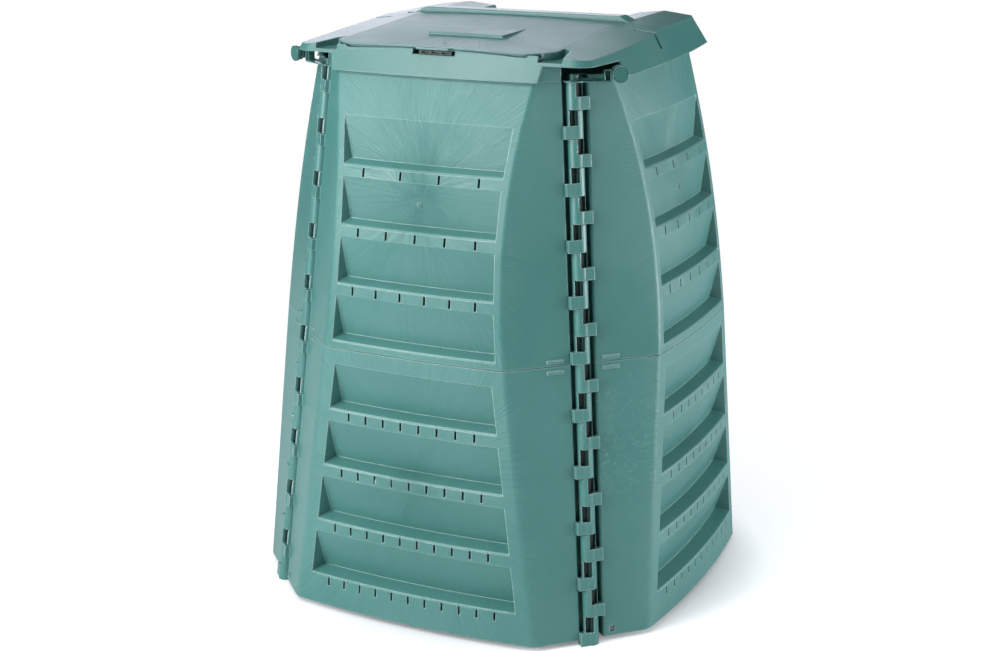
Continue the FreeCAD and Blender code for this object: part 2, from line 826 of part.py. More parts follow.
def groove(grow):
    """The channel over the right side strip and down the skirt."""
    at = size("groove_at")
    deep = size("groove_deep") + grow
    fall = size("lid_side_fall")
    half = size("flap_half")
    top = lid_edge_height(at)

    def strip(x):
        return top - fall * (x - half) - deep

    def skirt(height):
        return between(height, size("skirt_bottom"), size("skirt_reference"),
                       size("skirt_side_middle"), size("top_side_middle")) - deep
    inner = size("groove_inner")
    bottom = size("groove_bottom") - grow
    corner = skirt(strip(skirt(strip(inner))))
    points = [Vector(inner, at, strip(inner) + deep + 1), Vector(inner + 3, at, strip(inner + 3)),
              Vector(corner, at, strip(corner)), Vector(skirt(bottom), at, bottom), Vector(330, at, bottom),
              Vector(330, at, 1040), Vector(inner, at, 1040)]
    wide = size("groove_wide") + 2 * grow
    shape = prism(points, Vector(0, wide, 0))
    shape.translate(Vector(0, -wide / 2, 0))
    return shape


def rear_deck(grow):
    """Everything above the falling rear deck and the shoulders that lead down to it from the side strips."""
    half = size("shoulder_half") + grow
    front = size("deck_front")
    top = size("deck_platform")
    fall = (top - size("deck_back_top")) / (size("skirt_side_corner") - front)
    start = front - grow
    back = 340.0
    points = [Vector(-half, start, 1060), Vector(-half, start, top + fall * grow - grow),
              Vector(-half, back, top - fall * (back - front) - grow), Vector(-half, back, 1060)]
    well = prism(points, Vector(2 * half, 0, 0))
    outer = size("deck_half")
    rim = size("lid_ridge_top") - size("lid_side_fall") * (outer - size("flap_half")) - grow
    low = rim - size("shoulder_drop")
    outline = [Vector(-outer, start, rim), Vector(-half, start, low), Vector(half, start, low),
               Vector(outer, start, rim), Vector(outer, start, 1060), Vector(-outer, start, 1060)]
    return well.fuse(prism(outline, Vector(0, back - start, 0)))


def lid_frame():
    """The lid without its flap."""
    thick = size("lid_wall")
    half = size("flap_half")
    gap = size("flap_gap")
    lip = gap + thick
    drop = size("shelf_drop")
    hull = lid_hull(0)
    top = under_top(0)
    outside = hull.common(top)
    shell = outside.cut(lid_hull(thick).common(under_top(-thick)))

    # the flap's seat: an upright wall round the opening and a shelf under the flap's edge
    back = size("hinge_y") + size("hinge_back_clear")
    room = flap_plan(gap, gap, 900, 1060).fuse(block(-half - gap, half + gap, 0, back, 900, 1060))
    around = flap_plan(lip, 0, 900, 1060).fuse(block(-half - lip, half + lip, 0, back + thick, 900, 1060))
    tray = around.common(outside).cut(under_top(-drop - thick))
    shelf = flap_plan(lip, 6, 900, 1060).common(outside).common(under_top(-drop)).cut(under_top(-drop - thick))
    opening = block(-size("opening_half"), size("opening_half"), size("opening_front"), back, 900, 1060)
    opening = opening.fuse(block(-half - gap, half + gap, size("opening_side_back"), back, 900, 1060))
    above_shelf = room.cut(under_top(-drop))
    frame = shell.cut(room).fuse(tray.cut(above_shelf)).fuse(shelf).cut(opening)

    # the skirt's top edge lies lower than the flap, in front of it
    edge = size("cutout_front")
    lowered = block(-edge, edge, -340, size("flap_front") + size("flap_corner"), 960, 1060)
    lowered = lowered.cut(under_top(-size("flap_skin") - 0.4)).cut(flap_plan(lip, 0, 900, 1060))
    frame = frame.cut(lowered)
    frame = frame.cut(block(-half + 40, half - 40, -340, size("flap_front") + 3, 960, 1060)
                      .cut(under_top(-size("flap_skin") - 0.4)))

    # rear deck between the side strips, with a platform for the hinge bar cover
    deck_half = size("deck_half")
    well = rear_deck(0)
    well_wall = outside.common(rear_deck(thick))
    platform = block(-half, half, back, size("deck_front") + 1, size("deck_platform") - thick, size("deck_platform"))
    raised = block(-deck_half, deck_half, back, size("deck_front") + 1, size("deck_platform"), 1060)
    front_wall = block(-half, half, back, back + thick, size("deck_platform") - drop, size("deck_platform"))
    frame = frame.fuse(well_wall).cut(well).cut(raised).fuse(platform).fuse(front_wall)

    # scoops and grooves, each with its own walls
    for shape in both_sides(scoop(size("lid_wall"))):
        frame = frame.fuse(shape.common(outside).cut(flap_plan(gap, gap, 900, 1060)))
    keep = flap_plan(lip, 0, 900, 1060)
    for shape in both_sides(scoop(0)):
        frame = frame.cut(shape.cut(keep))
    for shape in both_sides(groove(size("lid_wall") - 0.5)):
        frame = frame.fuse(shape.common(outside))
    for shape in both_sides(groove(0)):
        frame = frame.cut(shape)
    groove_end = size("groove_bottom") + 1.5
    through = block(268, 340, size("groove_at") - size("groove_slot_wide") / 2,
                    size("groove_at") + size("groove_slot_wide") / 2, groove_end, groove_end + size("groove_slot_tall"))
    for shape in both_sides(through):
        frame = frame.cut(shape)

    # the skirt is cut away round the locks
    low = size("skirt_bottom") - 20
    rim = size("rim_bottom")
    slant = size("cutout_slant")
    front_cut = prism([Vector(edge, -340, low), Vector(edge + slant, -340, rim), Vector(340, -340, rim),
                       Vector(340, -340, low)], Vector(0, 95, 0))
    side = size("cutout_side")
    side_cut = prism([Vector(245, -side, low), Vector(245, -side - slant, rim), Vector(245, -340, rim),
                      Vector(245, -340, low)], Vector(100, 0, 0))
    guard = guard_wall()
    for shape in both_sides(front_cut) + both_sides(side_cut):
        frame = frame.cut(shape)
    for shape in both_sides(guard):
        frame = frame.fuse(shape.common(outside))

    # the skirt's lower edge climbs a little towards the back
    low = size("skirt_bottom")
    climb = size("skirt_rise")
    front = size("skirt_front_middle")
    under = prism([Vector(-345, -345, low - 20), Vector(-345, -345, low + climb * (front - 345)),
                   Vector(-345, 345, low + climb * (front + 345)), Vector(-345, 345, low - 20)], Vector(690, 0, 0))
    frame = frame.cut(under)

    # ledges that sit on the walls
    reach = size("seat_half")
    seat_low = wall_top + size("seat_clear")
    seat = block(-reach, reach, -330, -size("seat_inner"), seat_low, seat_low + size("seat_thick"))
    for turn in range(4):
        turned_seat = seat.copy()
        turned_seat.rotate(Vector(0, 0, 0), Vector(0, 0, 1), 90 * turn)
        frame = frame.fuse(turned_seat.common(outside))

    # notch for the flap's tab
    notch = size("notch_half")
    lowest = size("notch_bottom")
    inner = notch - size("notch_slant")
    opened = prism([Vector(-inner, -340, lowest), Vector(inner, -340, lowest), Vector(notch, -340, 1060),
                    Vector(-notch, -340, 1060)], Vector(0, 340 - 262, 0))
    frame = frame.cut(opened)
    floor = block(-inner - 1, inner + 1, -300, -258, lowest - thick, lowest)
    back_wall = block(-notch, notch, -262, -262 + thick, lowest - thick, lid_edge_height(-262) - drop)
    frame = frame.fuse(floor.common(outside)).fuse(back_wall)

    # sockets of the hinge pins, with an open slot over each pin
    axis = hinge_axis()
    pin = size("hinge_pin_wide") / 2
    boss = block(half + gap, size("hinge_pin_outer") + 4, axis.y - 8, axis.y + 7.5, axis.z - 8, axis.z + 20)
    slot_box = block(half + lip, size("hinge_pin_outer") - 4, axis.y - 4.2, axis.y + 4.2, axis.z - 4, axis.z + 30)
    bore = Part.makeCylinder(pin + size("hinge_clear"), size("hinge_pin_outer") + 0.5 - half, Vector(half, axis.y, axis.z),
                             Vector(1, 0, 0))
    for shape in both_sides(boss):
        frame = frame.fuse(shape.common(outside))
    for shape in both_sides(slot_box) + both_sides(bore):
        frame = frame.cut(shape)
    return frame


def guard_wall():
    """Upright wall of the lid beside the right lock, along the corner of the walls."""
    total = size("guard_sum")
    inner = size("guard_inner")
    outer = size("guard_outer")
    across = size("guard_thick") * root_half
    low = size("skirt_bottom") + 0.5
    points = [Vector(inner, inner - total, low), Vector(outer, outer - total, low),
              Vector(outer + across, outer - total - across, low),
              Vector(inner + across, inner - total - across, low)]
    return prism(points, Vector(0, 0, size("scoop_floor") - 2 - low))


def hinge_axis():
    """Point on the flap's hinge axis."""
    y = size("hinge_y")
    return Vector(0, y, lid_edge_height(y) - size("hinge_drop"))


def front_flap():
    """The opening flap: a crowned skin with a rib under its edge, a raised plate, an arrow and a tab."""
    skin = size("flap_skin")
    top = under_top(0)
    plate_plan = flap_plan(0, 0, 900, 1060)
    flap = plate_plan.common(top).cut(under_top(-skin))
    inset = size("flap_rib_inset")
    rib = flap_plan(-inset, -inset, 900, 1060).cut(flap_plan(-inset - skin, -inset - skin, 900, 1060))
    flap = flap.fuse(rib.common(under_top(-skin / 2)).cut(under_top(-size("flap_rib_drop"))))

    # raised plate, high at the front and level with the flap at its back
    half = size("plate_half")
    front = size("plate_front")
    back = size("plate_back")
    low = lid_edge_height(front)
    high = lid_edge_height(back) + size("lid_crown")
    raised = prism([Vector(-half, front, low), Vector(-half, front, low + size("lid_crown") + size("plate_rise")),
                    Vector(-half, back, high), Vector(-half, back, low)], Vector(2 * half, 0, 0))
    upright = [edge for edge in raised.Edges if edge.BoundBox.ZLength > 3 and edge.CenterOfMass.y < front + 1
               and edge.BoundBox.XLength < 0.1]
    raised = raised.makeFillet(size("plate_corner"), upright)
    rim = [edge for edge in raised.Edges if edge.BoundBox.ZMin > low + 3 and edge.CenterOfMass.y < back - 5]
    raised = raised.makeFillet(1.2, rim)
    flap = flap.fuse(raised.cut(under_top(-skin / 2)))

    # arrow towards the tab
    at = size("arrow_at")
    wide = size("arrow_size")
    arrow = prism([Vector(0, at - wide / 2, 900), Vector(wide / 2, at, 900), Vector(wide / 6, at, 900),
                   Vector(wide / 6, at + wide / 2, 900), Vector(-wide / 6, at + wide / 2, 900),
                   Vector(-wide / 6, at, 900), Vector(-wide / 2, at, 900)], Vector(0, 0, 160))
    flap = flap.fuse(arrow.common(under_top(size("arrow_rise"))).cut(under_top(-1)))

    # tab over the notch
    reach = size("tab_half")
    level = size("tab_top")
    tab = block(-reach, reach, size("tab_front"), size("flap_front") + 12, level - size("tab_thick"), level)
    corners = [edge for edge in tab.Edges if edge.BoundBox.ZLength > 2 and edge.CenterOfMass.y < size("tab_front") + 1]
    tab = tab.makeFillet(4, corners)
    flap = flap.fuse(tab.cut(under_top(0).common(block(-60, 60, size("flap_front") + 8, 0, 900, 1060))))

    # hinge lugs, bored for the pins
    axis = hinge_axis()
    inner = size("hinge_pin_inner")
    outer = size("flap_half")
    lug_round = size("hinge_lug_wide") / 2
    lug = Part.makeCylinder(lug_round, outer - inner, Vector(inner, axis.y, axis.z), Vector(1, 0, 0))
    lug = lug.fuse(block(inner, outer, axis.y - lug_round, axis.y, axis.z, axis.z + 20))
    lug = lug.fuse(block(inner, outer, axis.y - 1, size("flap_back"), axis.z, axis.z + 20))
    bore = Part.makeCylinder(size("hinge_pin_wide") / 2, outer - inner, Vector(inner, axis.y, axis.z), Vector(1, 0, 0))
    for shape in both_sides(lug):
        flap = flap.fuse(shape.common(under_top(-1)))
    for shape in both_sides(bore):
        flap = flap.cut(shape)
    return flap


def hinge_pins():
    """Two pins, fixed in the flap's lugs, that turn in the frame's sockets."""
    axis = hinge_axis()
    start = Vector(size("hinge_pin_inner"), axis.y, axis.z)
    length = size("hinge_pin_outer") - size("hinge_pin_inner")
    pin = Part.makeCylinder(size("hinge_pin_wide") / 2, length, start, Vector(1, 0, 0))
    return Part.makeCompound(both_sides(pin))


def hinge_bar_cover():
    """Level hollow bar behind the flap, with sloping ends that lie on the side strips."""
    front = size("hinge_y") + size("hinge_back_clear")
    base = size("deck_platform")
    high = size("bar_top")
    half = size("bar_half")
    end = half + size("bar_slope")

    def solid(inset):
        slope = size("bar_slope")
        points = [Vector(-end + inset, 0, base - 2), Vector(-end + inset, 0, base + 2), Vector(-half + inset, 0, high - inset),
                  Vector(half - inset, 0, high - inset), Vector(end - inset, 0, base + 2), Vector(end - inset, 0, base - 2)]
        shape = prism(points, Vector(0, size("bar_back") - front - 2 * inset, 0))
        shape.translate(Vector(0, front + inset, 0))
        return shape
    outer = solid(0)
    long_edges = [edge for edge in outer.Edges if edge.BoundBox.XLength > half and edge.CenterOfMass.z > high - 1]
    outer = outer.makeFillet(2.5, long_edges)
    bar = outer.cut(solid(size("bar_wall")).common(block(-half, half, 0, 200, 0, 1060)))
    strips = under_top(0)
    for shape in both_sides(block(size("deck_half"), 300, 0, 200, 900, 1060)):
        bar = bar.cut(shape.common(strips))
    return bar.cut(block(-size("deck_half"), size("deck_half"), 0, 200, 900, base))


def flap_catch():
    """Small dark catch in the notch, under the flap's tab."""
    half = size("catch_half")
    front = size("catch_front")
    base = size("notch_bottom")
    tall = size("catch_tall")
    deep = size("catch_deep")
    shape = block(-half, half, front, front + deep, base, base + tall)
    for index in range(-1, 2):
        middle = index * half * 0.62
        shape = shape.cut(block(middle - 7, middle + 7, front - 1, front + deep * 0.6, base + 2, base + tall - 1.8))
    return shape


# Corner locks. The lever's own axes: Z up its turning axis, X out towards the knob, -Y to the front.
def lock_lever():
    """Round plate and hub on the rod's pivot, with an arm, a web and an open frame beside the knob."""
    low = size("lock_bottom")
    thick = size("lock_plate_thick")
    plate = Part.makeCylinder(size("lock_plate_wide"), thick, Vector(0, 0, low))
    hub = Part.makeCylinder(size("lock_hub_wide") / 2, size("lock_hub_tall"), Vector(0, 0, low))
    long = size("lock_arm_long")
    arm = block(0, long, -size("lock_arm_front"), size("lock_arm_back"), low, low + thick)
    web = block(0, long, -size("lock_web_thick") / 2, size("lock_web_thick") / 2, low, low + size("lock_web_tall"))
    start = size("lock_frame_inner")
    rim = size("lock_frame_wall")
    tall = size("lock_frame_tall")
    front = -size("lock_arm_front")
    window = block(start, long, front, front + 12, low, low + tall)
    window = window.cut(block(start + rim, long - rim, front - 1, front + 9, low + thick, low + tall - rim))
    middle = Vector(size("knob_out"), 0, size("knob_height"))
    link = block(long - 2, middle.x, front + 2, front + 6, low + 5, low + tall - 2)
    core = Part.makeCylinder(size("knob_core") / 2, 80, middle + Vector(0, -40, 0), Vector(0, 1, 0))
    pivot = Part.makeCylinder(size("pivot_wide") / 2 + size("pivot_clear"), 40, Vector(0, 0, low - 10))
    return plate.multiFuse([hub, arm, web, window, link]).cut(core).cut(pivot)


def knob_points():
    """Half section of the knob: its face with a ring groove, then a core with three ribs."""
    outer = "knob_wide / 2"
    groove = "knob_groove_wide / 2"
    groove_end = "knob_groove_wide / 2 + knob_groove"
    core = "knob_core / 2"
    rib = "knob_rib_wide / 2"
    ribs = [("knob_face + knob_first_gap", "knob_face + knob_first_gap + knob_rib"),
            ("knob_long - knob_rib - knob_pitch", "knob_long - knob_pitch"),
            ("knob_long - knob_rib", "knob_long")]
    points = [("0", "0"), (groove, "0"), (groove, "knob_groove"), (groove_end, "knob_groove"),
              (groove_end, "0"), (outer, "0"), (outer, "knob_face"), (core, "knob_face")]
    for start, end in ribs:
        points += [(core, start), (rib, start), (rib, end)]
        if end != "knob_long":
            points.append((core, end))
    points.append(("0", "knob_long"))
    return points


subparts = []
walls = ("front", "right", "back", "left")
for level in ("lower", "upper"):
    panel_shape = panel(level)
    print(level, "panel", round(panel_shape.Volume / 1000), "cm3, solids", len(panel_shape.Solids))
    for quarter, where in enumerate(walls):
        place = Placement(Vector(0, 0, 0), Rotation(Vector(0, 0, 1), 90 * quarter))
        subparts.append(add_shape(f"{level}_panel_{where}", panel_shape, place))

for side, hand in ((-1, "left"), (1, "right")):
    subparts.append(corner_rod(f"corner_rod_front_{hand}", side, False))
    subparts.append(corner_rod(f"corner_rod_back_{hand}", -side, True))

subparts.append(add_shape("lid_frame", lid_frame()))
subparts.append(add_shape("hinge_bar_cover", hinge_bar_cover()))
subparts.append(add_shape("flap_catch", flap_catch()))
subparts.append(add_shape("front_flap", front_flap()))
subparts.append(add_shape("flap_hinge_pins", hinge_pins()))

lever = lock_lever()
for side, hand in ((-1, "left"), (1, "right")):
    axis = lock_axis(side)
    turn = Rotation(Vector(0, 0, 1), size("lock_turn") * side)
    place = Placement(Vector(axis.x, axis.y, 0), turn)
    shape = lever if side > 0 else lever.mirror(Vector(0, 0, 0), Vector(1, 0, 0))
    subparts.append(add_shape(f"corner_lock_lever_{hand}", shape, place))
    face = Placement(Vector(side * size("knob_out"), -size("knob_front"), size("knob_height")),
                     Rotation(Vector(1, 0, 0), -90))
    subparts.append(revolved(f"corner_lock_knob_{hand}", knob_points(), place.multiply(face)))

doc.recompute()
for subpart in subparts:
    shape = subpart.Shape
    if "Invalid" in subpart.State or "Error" in subpart.State or shape.isNull() or not shape.isValid():
        raise RuntimeError(f"{subpart.Label} failed")
    shape.exportStep(f"parts/{subpart.Label}.step")
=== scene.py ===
import math

import bmesh
import bpy
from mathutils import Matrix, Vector

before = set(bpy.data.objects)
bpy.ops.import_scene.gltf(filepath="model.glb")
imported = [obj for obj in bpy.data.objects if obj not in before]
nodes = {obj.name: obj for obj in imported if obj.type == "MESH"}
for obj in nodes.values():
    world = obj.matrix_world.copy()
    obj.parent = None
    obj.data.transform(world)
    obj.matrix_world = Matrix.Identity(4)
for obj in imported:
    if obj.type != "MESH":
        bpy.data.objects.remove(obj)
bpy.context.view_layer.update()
print("frame loaded:", len(nodes), "pieces")


def addNode(tree, kind, place, **settings):
    node = tree.nodes.new(kind)
    node.location = place
    for name, value in settings.items():
        setattr(node, name, value)
    return node


def feed(tree, value, socket):
    # a socket takes another socket's value, or a plain number or colour
    if isinstance(value, bpy.types.NodeSocket):
        tree.links.new(value, socket)
    else:
        socket.default_value = value


def maths(tree, operation, place, *values, clamp=False):
    node = addNode(tree, "ShaderNodeMath", place, operation=operation, use_clamp=clamp)
    for value, socket in zip(values, node.inputs):
        feed(tree, value, socket)
    return node.outputs[0]


def vectors(tree, operation, place, *values):
    node = addNode(tree, "ShaderNodeVectorMath", place, operation=operation)
    sockets = [node.inputs[0], node.inputs["Scale"]] if operation == "SCALE" else node.inputs
    for value, socket in zip(values, sockets):
        feed(tree, value, socket)
    return node.outputs["Value" if operation in ("LENGTH", "DISTANCE", "DOT_PRODUCT") else "Vector"]


def blendColour(tree, place, factor, first, second):
    # of the Mix node's sockets, 0 is the factor, 6 and 7 are the two colours, and output 2 is a colour
    node = addNode(tree, "ShaderNodeMix", place, data_type="RGBA")
    for value, socket in ((factor, node.inputs[0]), (first, node.inputs[6]), (second, node.inputs[7])):
        feed(tree, value, socket)
    return node.outputs[2]


def stretchRange(tree, place, value, low, high, newHigh=1.0):
    # low becomes 0 and high becomes newHigh, with nothing beyond either
    node = addNode(tree, "ShaderNodeMapRange", place, clamp=True)
    for item, socket in zip((value, low, high, 0.0, newHigh), node.inputs):
        feed(tree, item, socket)
    return node.outputs[0]


def noise(tree, place, position, scale, detail=2.0, rough=0.5, distort=0.0, output="Fac"):
    node = addNode(tree, "ShaderNodeTexNoise", place, noise_dimensions="3D")
    feed(tree, position, node.inputs["Vector"])
    for name, value in (("Scale", scale), ("Detail", detail), ("Roughness", rough), ("Distortion", distort)):
        feed(tree, value, node.inputs[name])
    return node.outputs[output]


def mixShaders(tree, place, factor, first, second):
    node = addNode(tree, "ShaderNodeMixShader", place)
    for output, socket in zip((factor, first, second), node.inputs):
        tree.links.new(output, socket)
    return node.outputs[0]


def turnPattern(tree, place, position, turn):
    node = addNode(tree, "ShaderNodeMapping", place, vector_type="POINT")
    feed(tree, position, node.inputs["Vector"])
    node.inputs["Rotation"].default_value = [math.radians(angle) for angle in turn]
    return node.outputs[0]


# what a moulded skin shows: hair-like flow lines that run out from the gate where the melt came in,
# short curls of flow in places, a slow change of tone and a fine grain
skin = {
    "waverScale": 7.0,            # how the flow lines waver
    "waverReach": 0.05,
    "hairCount": 120.0,           # round the gate
    "hairShort": 6.0,             # breaks along a line, per metre
    "hairRange": (0.40, 0.64),    # what part of the noise shows, here and below
    "faceSoft": 0.03,             # the lines fade over this width, where the flat of a face ends
    "curlScale": 16.0,
    "curlWarp": 0.6,
    "curlLines": 20.0,
    "curlRange": (0.3, 1.0),
    "strokeScale": 130.0,
    "strokeRange": (0.46, 0.62),
    "grainScale": 620.0,
    "cloudScale": 4.2,
    "cloudDetail": 4.0,
    "cloudRough": 0.6,
    "toneRange": (0.3, 0.7),      # for the grain and the clouds
    "glint": 0.9,                  # how far an edge takes the painted highlight colour
    # how much each makes the skin paler, rougher and higher
    "paler": {"hair": 0.15, "cloud": 0.20, "grain": 0.14, "curl": 0.45},
    "rougher": {"hair": 0.12, "cloud": 0.08, "edge": -0.12},
    "higher": {"grain": 0.22, "hair": 0.78, "curl": 0.5},
}


def makeSkinGroup():
    tree = bpy.data.node_groups.new("mouldedSkin", "ShaderNodeTree")
    for name, kind, value in (
        ("Position", "NodeSocketVector", (0, 0, 0)),    # the gate at its origin, the flow in X and Z
        ("Base", "NodeSocketColor", (0.07, 0.22, 0.20, 1)),
        ("Pale", "NodeSocketColor", (0.15, 0.33, 0.31, 1)),
        ("Glint", "NodeSocketColor", (0.30, 0.50, 0.48, 1)),
        ("Rough", "NodeSocketFloat", 0.35),
        ("Hair", "NodeSocketFloat", 0.5),
        ("Face Half", "NodeSocketFloat", 1.0),
        ("Face Taper", "NodeSocketFloat", 0.0),
        ("Curl", "NodeSocketFloat", 0.0),
        ("Edge", "NodeSocketFloat", 0.0),
    ):
        tree.interface.new_socket(name=name, in_out="INPUT", socket_type=kind).default_value = value
    for name, kind in (
        ("Color", "NodeSocketColor"),
        ("Roughness", "NodeSocketFloat"),
        ("Height", "NodeSocketFloat"),
    ):
        tree.interface.new_socket(name=name, in_out="OUTPUT", socket_type=kind)
    given = addNode(tree, "NodeGroupInput", (-1900, 0)).outputs
    result = addNode(tree, "NodeGroupOutput", (900, 0)).inputs

    # flow lines: the place is wavered a little, then read by its direction from the gate
    waver = noise(tree, (-1700, 300), given["Position"], skin["waverScale"], output="Color")
    centred = vectors(tree, "SUBTRACT", (-1520, 300), waver, (0.5, 0.5, 0.5))
    reach = (skin["waverReach"],) * 3
    carried = vectors(tree, "MULTIPLY_ADD", (-1360, 300), centred, reach, given["Position"])
    flat = vectors(tree, "MULTIPLY", (-1200, 300), carried, (1, 0, 1))
    away = vectors(tree, "LENGTH", (-1040, 420), flat)
    direction = vectors(tree, "NORMALIZE", (-1040, 260), flat)
    around = vectors(tree, "SCALE", (-880, 260), direction, skin["hairCount"])
    outwards = addNode(tree, "ShaderNodeCombineXYZ", (-880, 420))
    feed(tree, maths(tree, "MULTIPLY", (-1040, 560), away, skin["hairShort"]), outwards.inputs["Y"])
    lines = vectors(tree, "ADD", (-720, 300), around, outwards.outputs[0])
    hair = stretchRange(tree, (-400, 300), noise(tree, (-560, 300), lines, 1.0), *skin["hairRange"])

    # they stay on the flat of a face, whose half width changes with height
    apart = addNode(tree, "ShaderNodeSeparateXYZ", (-1200, 800))
    feed(tree, given["Position"], apart.inputs[0])
    sideways = maths(tree, "ABSOLUTE", (-1040, 860), apart.outputs["X"])
    sideways = maths(tree, "MULTIPLY_ADD", (-880, 800), apart.outputs["Z"], given["Face Taper"], sideways)
    beyond = maths(tree, "SUBTRACT", (-720, 800), sideways, given["Face Half"])
    onFace = stretchRange(tree, (-560, 800), beyond, skin["faceSoft"], 0.0)
    hairPart = maths(tree, "MULTIPLY", (-400, 480), hair, onFace)
    hairPart = maths(tree, "MULTIPLY", (-220, 300), hairPart, given["Hair"])

    # curls: level lines of a slow noise, broken into short strokes
    slow = noise(tree, (-1200, -40), given["Position"], skin["curlScale"], detail=1.0,
                 distort=skin["curlWarp"])
    turns = maths(tree, "MULTIPLY", (-1030, -40), slow, math.tau * skin["curlLines"])
    wave = stretchRange(tree, (-700, -40), maths(tree, "SINE", (-860, -40), turns), *skin["curlRange"])
    strokes = noise(tree, (-860, -220), given["Position"], skin["strokeScale"], detail=1.0)
    strokes = stretchRange(tree, (-700, -220), strokes, *skin["strokeRange"])
    curl = maths(tree, "MULTIPLY", (-520, -100), wave, strokes)
    curlPart = maths(tree, "MULTIPLY", (-360, -60), curl, given["Curl"])

    grain = noise(tree, (-700, -460), given["Position"], skin["grainScale"])
    grain = stretchRange(tree, (-520, -460), grain, *skin["toneRange"])
    cloud = noise(tree, (-700, -660), given["Position"], skin["cloudScale"], skin["cloudDetail"],
                  skin["cloudRough"])
    cloud = stretchRange(tree, (-520, -660), cloud, *skin["toneRange"])

    # colour: paler along the lines and curls, in clouds and in the grain, and a painted highlight on the
    # edges
    paler = skin["paler"]
    pale = maths(tree, "MULTIPLY", (140, 240), hairPart, paler["hair"])
    pale = maths(tree, "MULTIPLY_ADD", (140, 80), cloud, paler["cloud"], pale)
    pale = maths(tree, "MULTIPLY_ADD", (140, -80), grain, paler["grain"], pale)
    pale = maths(tree, "MULTIPLY_ADD", (320, 240), curlPart, paler["curl"], pale, clamp=True)
    plain = blendColour(tree, (500, 200), pale, given["Base"], given["Pale"])
    # painted highlight: every edge the bevel finds, convex or hollow, is blended towards a light colour
    glint = maths(tree, "MULTIPLY", (500, 380), given["Edge"], skin["glint"])
    feed(tree, blendColour(tree, (680, 260), glint, plain, given["Glint"]), result["Color"])

    rougher = skin["rougher"]
    rough = maths(tree, "MULTIPLY_ADD", (140, -260), hairPart, rougher["hair"], given["Rough"])
    rough = maths(tree, "MULTIPLY_ADD", (320, -260), cloud, rougher["cloud"], rough)
    rough = maths(tree, "MULTIPLY_ADD", (500, -260), given["Edge"], rougher["edge"], rough, clamp=True)
    feed(tree, rough, result["Roughness"])

    higher = skin["higher"]
    height = maths(tree, "MULTIPLY", (140, -440), grain, higher["grain"])
    height = maths(tree, "MULTIPLY_ADD", (320, -440), hairPart, higher["hair"], height)
    height = maths(tree, "MULTIPLY_ADD", (500, -440), curlPart, higher["curl"], height)
    feed(tree, height, result["Height"])
    return tree


skinGroup = makeSkinGroup()
print("skin group made")


# what all the plastics share: polyethylene, its edges, and how the bevel finds them
moulding = {
    "ior": 1.54,
    "bevelSamples": 4,
    "edgeRange": (0.995, 0.90),   # the cosine between the rounded normal and the plain one
}
# colours are linear, radius (of an edge) and depth (of the relief) in metres
# the third colour of each plastic is a painted highlight that its edges take
plastics = {
    "wallPlastic": {
        "base": (0.046, 0.182, 0.162), "pale": (0.140, 0.322, 0.305), "glint": (0.44, 0.61, 0.60),
        "rough": 0.30, "hair": 1.0, "radius": 0.0021, "depth": 0.00026,
    },
    "lidPlastic": {
        "base": (0.040, 0.158, 0.140), "pale": (0.110, 0.265, 0.250), "glint": (0.24, 0.40, 0.39),
        "rough": 0.30, "hair": 0.45, "radius": 0.0026, "depth": 0.00012,
    },
    "flapPlastic": {
        "base": (0.042, 0.150, 0.142), "pale": (0.115, 0.255, 0.250), "glint": (0.26, 0.40, 0.40),
        "rough": 0.32, "hair": 0.80, "radius": 0.0022, "depth": 0.00014,
    },
    "lockPlastic": {
        "base": (0.034, 0.138, 0.122), "pale": (0.095, 0.240, 0.222), "glint": (0.18, 0.34, 0.33),
        "rough": 0.22, "hair": 0.20, "radius": 0.0014, "depth": 0.00006,
    },
    # painted shade: the rods are coloured near black, standing in for the deep shadow in the windows between
    # the knuckles
    "rodPaintedShade": {
        "base": (0.007, 0.030, 0.027), "pale": (0.022, 0.070, 0.064), "glint": (0.07, 0.16, 0.15),
        "rough": 0.34, "hair": 0.20, "radius": 0.0008, "depth": 0.00008,
    },
    "catchPlastic": {
        "base": (0.009, 0.026, 0.024), "pale": (0.030, 0.064, 0.060), "glint": (0.05, 0.10, 0.09),
        "rough": 0.42, "hair": 0.20, "radius": 0.0008, "depth": 0.00006,
    },
    "pinPlastic": {
        "base": (0.026, 0.100, 0.090), "pale": (0.072, 0.175, 0.162), "glint": (0.12, 0.24, 0.23),
        "rough": 0.30, "hair": 0.15, "radius": 0.0006, "depth": 0.00005,
    },
}


